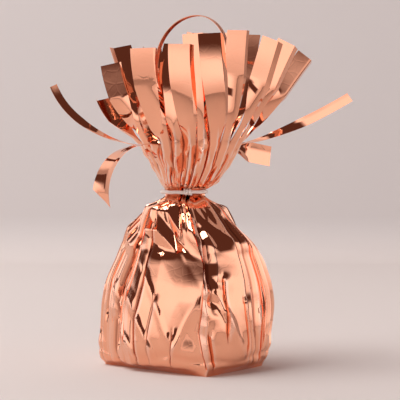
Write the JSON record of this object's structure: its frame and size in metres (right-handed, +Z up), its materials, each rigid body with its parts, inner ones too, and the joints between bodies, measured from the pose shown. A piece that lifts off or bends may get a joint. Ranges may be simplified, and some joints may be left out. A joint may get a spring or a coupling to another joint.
{
  "type": "balloon weight",
  "caption": "Foil-wrapped balloon weight: a pleated sand-filled bag tied at the neck, with a slit foil fringe and a ribbon loop on top.",
  "frame": {"origin": "middle of the flat base, on the surface that the weight stands on", "axes": "+Z up towards the ribbon loop, +X along the long side of the base"},
  "size_m": [0.1001, 0.107, 0.1499],
  "materials": {
    "foil": "mirror metallised film, rose gold",
    "card": "matte",
    "pouch": "clear film",
    "sand": "matte",
    "tie": "silvery white cord",
    "ribbon": "rose gold curling ribbon"
  },
  "bodies": {
    "weight": {"foil_wrapper": "foil", "base_card": "card", "sand_pouch": "pouch", "sand_ballast": "sand", "neck_tie": "tie"},
    "loop": {"ribbon_loop": "ribbon"},
    "strip_01": {"fringe_strip_01": "foil"},
    "strip_02": {"fringe_strip_02": "foil"},
    "strip_03": {"fringe_strip_03": "foil"},
    "strip_04": {"fringe_strip_04": "foil"},
    "strip_05": {"fringe_strip_05": "foil"},
    "strip_06": {"fringe_strip_06": "foil"},
    "strip_07": {"fringe_strip_07": "foil"},
    "strip_08": {"fringe_strip_08": "foil"},
    "strip_09": {"fringe_strip_09": "foil"},
    "strip_10": {"fringe_strip_10": "foil"},
    "strip_11": {"fringe_strip_11": "foil"},
    "strip_12": {"fringe_strip_12": "foil"},
    "strip_13": {"fringe_strip_13": "foil"},
    "strip_14": {"fringe_strip_14": "foil"},
    "strip_15": {"fringe_strip_15": "foil"},
    "strip_16": {"fringe_strip_16": "foil"},
    "strip_17": {"fringe_strip_17": "foil"},
    "strip_18": {"fringe_strip_18": "foil"},
    "strip_19": {"fringe_strip_19": "foil"},
    "strip_20": {"fringe_strip_20": "foil"},
    "strip_21": {"fringe_strip_21": "foil"},
    "strip_22": {"fringe_strip_22": "foil"}
  },
  "joints": [
    {"name": "loop_tilt", "type": "hinge", "parent": "weight", "child": "loop", "pos_m": [0, 0, 0.0766], "axis": [1, 0, 0], "range_deg": [-6, 5], "stiffness_Nm_per_rad": 0.0011},
    {"name": "strip_01_bend", "type": "hinge", "parent": "weight", "child": "strip_01", "pos_m": [0.01651, -0.01169, 0.0945], "axis": [0.1893, 0.9819, 0], "range_deg": [-3, 2], "stiffness_Nm_per_rad": 0.0011},
    {"name": "strip_02_bend", "type": "hinge", "parent": "weight", "child": "strip_02", "pos_m": [0.01988, -0.00741, 0.0945], "axis": [0.4779, 0.8784, 0], "range_deg": [-2, 15], "stiffness_Nm_per_rad": 0.0011},
    {"name": "strip_03_bend", "type": "hinge", "parent": "weight", "child": "strip_03", "pos_m": [0.02163, -0.00254, 0.0945], "axis": [0.1077, 0.9942, 0], "range_deg": [-2, 2], "stiffness_Nm_per_rad": 0.0011},
    {"name": "strip_04_bend", "type": "hinge", "parent": "weight", "child": "strip_04", "pos_m": [0.02163, 0.00254, 0.0945], "axis": [-0.1423, 0.9898, 0], "range_deg": [-2, 15], "stiffness_Nm_per_rad": 0.0011},
    {"name": "strip_05_bend", "type": "hinge", "parent": "weight", "child": "strip_05", "pos_m": [0.01988, 0.00741, 0.0945], "axis": [-0.4469, 0.8946, 0], "range_deg": [-6, 2], "stiffness_Nm_per_rad": 0.0011},
    {"name": "strip_06_bend", "type": "hinge", "parent": "weight", "child": "strip_06", "pos_m": [0.01651, 0.01169, 0.0945], "axis": [-0.6808, 0.7324, 0], "range_deg": [-2, 5], "stiffness_Nm_per_rad": 0.0011},
    {"name": "strip_07_bend", "type": "hinge", "parent": "weight", "child": "strip_07", "pos_m": [0.01181, 0.01502, 0.0945], "axis": [-0.7578, 0.6525, 0], "range_deg": [-4, 30], "stiffness_Nm_per_rad": 0.0011},
    {"name": "strip_08_bend", "type": "hinge", "parent": "weight", "child": "strip_08", "pos_m": [0.00616, 0.01713, 0.0945], "axis": [-0.9595, 0.2817, 0], "range_deg": [-2, 12], "stiffness_Nm_per_rad": 0.0011},
    {"name": "strip_09_bend", "type": "hinge", "parent": "weight", "child": "strip_09", "pos_m": [0, 0.01785, 0.0945], "axis": [-0.9272, 0.3746, 0], "range_deg": [-6, 30], "stiffness_Nm_per_rad": 0.0011},
    {"name": "strip_10_bend", "type": "hinge", "parent": "weight", "child": "strip_10", "pos_m": [-0.00616, 0.01713, 0.0945], "axis": [-0.9161, 0.4009, 0], "range_deg": [-2, 2], "stiffness_Nm_per_rad": 0.0011},
    {"name": "strip_11_bend", "type": "hinge", "parent": "weight", "child": "strip_11", "pos_m": [-0.01181, 0.01502, 0.0945], "axis": [-0.8888, 0.4582, 0], "range_deg": [-4, 2], "stiffness_Nm_per_rad": 0.0011},
    {"name": "strip_12_bend", "type": "hinge", "parent": "weight", "child": "strip_12", "pos_m": [-0.01651, 0.01169, 0.0945], "axis": [-0.6549, -0.7557, 0], "range_deg": [-2, 15], "stiffness_Nm_per_rad": 0.0011},
    {"name": "strip_13_bend", "type": "hinge", "parent": "weight", "child": "strip_13", "pos_m": [-0.01988, 0.00741, 0.0945], "axis": [-0.4154, -0.9096, 0], "range_deg": [-6, 2], "stiffness_Nm_per_rad": 0.0011},
    {"name": "strip_14_bend", "type": "hinge", "parent": "weight", "child": "strip_14", "pos_m": [-0.02163, 0.00254, 0.0945], "axis": [-0.1423, -0.9898, 0], "range_deg": [-2, 15], "stiffness_Nm_per_rad": 0.0011},
    {"name": "strip_15_bend", "type": "hinge", "parent": "weight", "child": "strip_15", "pos_m": [-0.02163, -0.00254, 0.0945], "axis": [0.1423, -0.9898, 0], "range_deg": [-6, 2], "stiffness_Nm_per_rad": 0.0011},
    {"name": "strip_16_bend", "type": "hinge", "parent": "weight", "child": "strip_16", "pos_m": [-0.01988, -0.00741, 0.0945], "axis": [0.4779, -0.8784, 0], "range_deg": [-2, 4], "stiffness_Nm_per_rad": 0.0011},
    {"name": "strip_17_bend", "type": "hinge", "parent": "weight", "child": "strip_17", "pos_m": [-0.01651, -0.01169, 0.0945], "axis": [0.6549, -0.7557, 0], "range_deg": [-3, 30], "stiffness_Nm_per_rad": 0.0011},
    {"name": "strip_18_bend", "type": "hinge", "parent": "weight", "child": "strip_18", "pos_m": [-0.01181, -0.01502, 0.0945], "axis": [0.8413, -0.5406, 0], "range_deg": [-2, 15], "stiffness_Nm_per_rad": 0.0011},
    {"name": "strip_19_bend", "type": "hinge", "parent": "weight", "child": "strip_19", "pos_m": [-0.00616, -0.01713, 0.0945], "axis": [0.9938, -0.1108, 0], "range_deg": [-10, 15], "stiffness_Nm_per_rad": 0.0011},
    {"name": "strip_20_bend", "type": "hinge", "parent": "weight", "child": "strip_20", "pos_m": [0, -0.01785, 0.0945], "axis": [1, 0, 0], "range_deg": [-2, 15], "stiffness_Nm_per_rad": 0.0011},
    {"name": "strip_21_bend", "type": "hinge", "parent": "weight", "child": "strip_21", "pos_m": [0.00616, -0.01713, 0.0945], "axis": [0.9161, -0.4009, 0], "range_deg": [-4, 2], "stiffness_Nm_per_rad": 0.0011},
    {"name": "strip_22_bend", "type": "hinge", "parent": "weight", "child": "strip_22", "pos_m": [0.01181, -0.01502, 0.0945], "axis": [0.9083, 0.4183, 0], "range_deg": [-2, 15], "stiffness_Nm_per_rad": 0.0011}
  ]
}
